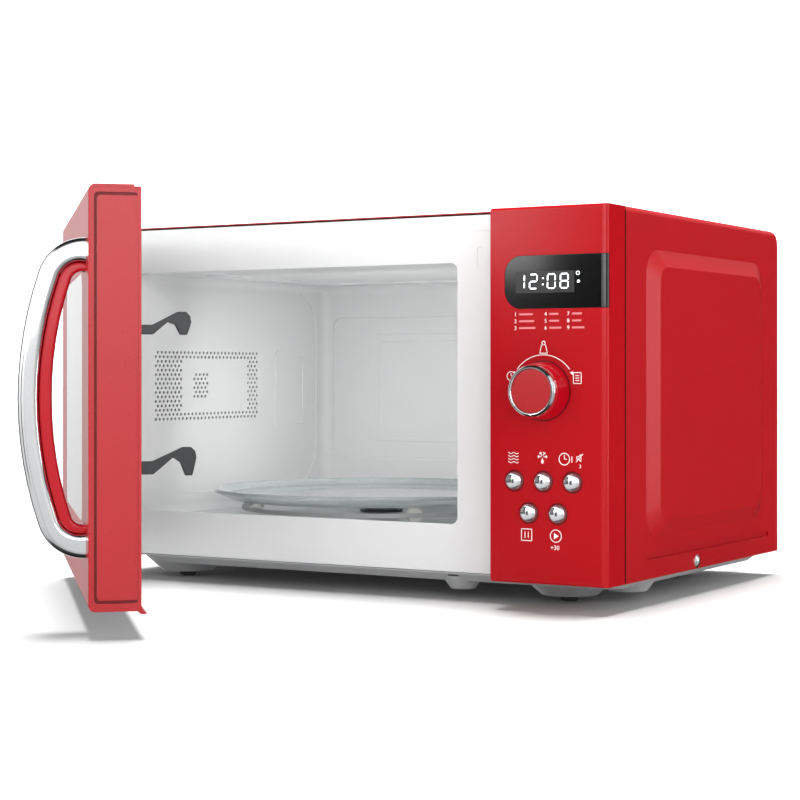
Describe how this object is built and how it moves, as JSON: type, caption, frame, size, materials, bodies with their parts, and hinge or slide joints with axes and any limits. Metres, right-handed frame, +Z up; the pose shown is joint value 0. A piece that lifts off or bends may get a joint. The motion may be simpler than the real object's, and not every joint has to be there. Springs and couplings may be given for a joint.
{
  "type": "microwave oven",
  "caption": "Countertop microwave oven with a side-hung bow-handled door, glass turntable on a roller ring, and a control column with a display, knob and domed push buttons.",
  "frame": {"origin": "On the counter, in the middle of the outline of the oven with its door open at rest", "axes": "+X to the right seen from the front, +Y to the back, +Z up"},
  "size_m": [0.4511, 0.5692, 0.2612],
  "materials": {
    "casing_red": "gloss enamel paint",
    "panel_red": "gloss moulded plastic",
    "enamel_white": "gloss white enamel",
    "zinc_steel": "zinc-coated sheet",
    "chrome": "polished",
    "screen_steel": "dark enamel",
    "rubber": "matte",
    "tray_glass": "clear pressed glass",
    "door_glass": "tinted flat glass",
    "lamp_glass": "clear bulb",
    "black_gloss": "smoked window",
    "dark_plastic": "moulded",
    "light_plastic": "moulded",
    "board_green": "solder resist",
    "core_steel": "varnished laminations",
    "mica": "mica sheet",
    "aluminium": "plain"
  },
  "bodies": {
    "cabinet": {"outer_casing": "casing_red", "back_panel": "zinc_steel", "cord_gland": "rubber", "base_pan": "zinc_steel", "rubber_feet": "rubber", "casing_screws": "chrome", "front_plate": "enamel_white", "cavity_left_wall": "enamel_white", "cavity_right_wall": "enamel_white", "cavity_ceiling": "enamel_white", "cavity_floor": "enamel_white", "cavity_rear_wall": "enamel_white", "waveguide": "zinc_steel", "waveguide_cover": "mica", "magnetron": "aluminium", "hv_transformer": "core_steel", "hv_capacitor": "aluminium", "hv_diode": "dark_plastic", "fan_shroud": "light_plastic", "fan_motor": "core_steel", "noise_filter": "board_green", "thermal_cutout": "aluminium", "lamp_holder": "light_plastic", "cavity_lamp": "lamp_glass", "turntable_motor": "zinc_steel", "control_panel": "panel_red", "display_window": "black_gloss", "display_module": "dark_plastic", "control_board": "board_green", "encoder": "zinc_steel", "latch_bracket": "light_plastic", "door_switches": "dark_plastic", "hinge_upper": "zinc_steel", "hinge_lower": "zinc_steel"},
    "door": {"door_frame": "panel_red", "door_glass": "door_glass", "door_screen": "screen_steel", "door_choke": "screen_steel", "door_inner_cover": "panel_red", "handle_shell": "chrome", "handle_liner": "panel_red", "handle_screws": "zinc_steel"},
    "latch": {"latch_hooks": "dark_plastic", "latch_spring": "zinc_steel"},
    "turntable": {"turntable_coupler": "dark_plastic", "glass_tray": "tray_glass"},
    "ring": {"roller_ring": "dark_plastic"},
    "roller_a": {"roller_1": "light_plastic"},
    "roller_b": {"roller_2": "light_plastic"},
    "roller_c": {"roller_3": "light_plastic"},
    "knob": {"encoder_shaft": "light_plastic", "knob_body": "panel_red", "knob_ring": "chrome", "knob_cap": "panel_red"},
    "fan": {"fan_blade": "light_plastic"},
    "push_1": {"button_1": "chrome"},
    "push_2": {"button_2": "chrome"},
    "push_3": {"button_3": "chrome"},
    "push_4": {"button_4": "chrome"},
    "push_5": {"button_5": "chrome"}
  },
  "joints": [
    {"name": "door_hinge", "type": "hinge", "parent": "cabinet", "child": "door", "pos_m": [-0.2115, -0.0115, 0.13805], "axis": [0, 0, -1], "range_deg": [-46.7, 48.3]},
    {"name": "latch_lift", "type": "slide", "parent": "door", "child": "latch", "axis": [0, 0, 1], "range_m": [0, 0.004], "stiffness_N_per_m": 250, "springref_m": -0.004, "deforming": ["latch_spring"]},
    {"name": "turntable_spin", "type": "hinge", "parent": "cabinet", "child": "turntable", "pos_m": [-0.042, 0.12805, 0.0573], "axis": [0, 0, 1], "continuous": true},
    {"name": "ring_spin", "type": "hinge", "parent": "cabinet", "child": "ring", "pos_m": [-0.042, 0.12805, 0.0514], "axis": [0, 0, 1], "continuous": true},
    {"name": "roller_a_spin", "type": "hinge", "parent": "ring", "child": "roller_a", "pos_m": [-0.01612, 0.22464, 0.0514], "axis": [-0.2588, -0.9659, 0], "continuous": true},
    {"name": "roller_b_spin", "type": "hinge", "parent": "ring", "child": "roller_b", "pos_m": [-0.13859, 0.10217, 0.0514], "axis": [0.9659, 0.2588, 0], "continuous": true},
    {"name": "roller_c_spin", "type": "hinge", "parent": "ring", "child": "roller_c", "pos_m": [0.02871, 0.05734, 0.0514], "axis": [-0.7071, 0.7071, 0], "continuous": true},
    {"name": "knob_spin", "type": "hinge", "parent": "cabinet", "child": "knob", "pos_m": [0.1757, -0.0322, 0.1415], "axis": [0, 1, 0], "continuous": true},
    {"name": "press_1", "type": "slide", "parent": "cabinet", "child": "push_1", "axis": [0, 1, 0], "range_m": [0, 0.0015], "stiffness_N_per_m": 400, "springref_m": -0.001},
    {"name": "press_2", "type": "slide", "parent": "cabinet", "child": "push_2", "axis": [0, 1, 0], "range_m": [0, 0.0015], "stiffness_N_per_m": 400, "springref_m": -0.001},
    {"name": "press_3", "type": "slide", "parent": "cabinet", "child": "push_3", "axis": [0, 1, 0], "range_m": [0, 0.0015], "stiffness_N_per_m": 400, "springref_m": -0.001},
    {"name": "press_4", "type": "slide", "parent": "cabinet", "child": "push_4", "axis": [0, 1, 0], "range_m": [0, 0.0015], "stiffness_N_per_m": 400, "springref_m": -0.001},
    {"name": "press_5", "type": "slide", "parent": "cabinet", "child": "push_5", "axis": [0, 1, 0], "range_m": [0, 0.0015], "stiffness_N_per_m": 400, "springref_m": -0.001},
    {"name": "fan_spin", "type": "hinge", "parent": "cabinet", "child": "fan", "pos_m": [0.1594, 0.2475, 0.14005], "axis": [0, 1, 0], "continuous": true}
  ],
  "couplings": [
    {"joint": "ring_spin", "follows": "turntable_spin", "ratio": 0.5},
    {"joint": "roller_a_spin", "follows": "turntable_spin", "ratio": 8.7719},
    {"joint": "roller_b_spin", "follows": "turntable_spin", "ratio": 8.7719},
    {"joint": "roller_c_spin", "follows": "turntable_spin", "ratio": 8.7719}
  ]
}
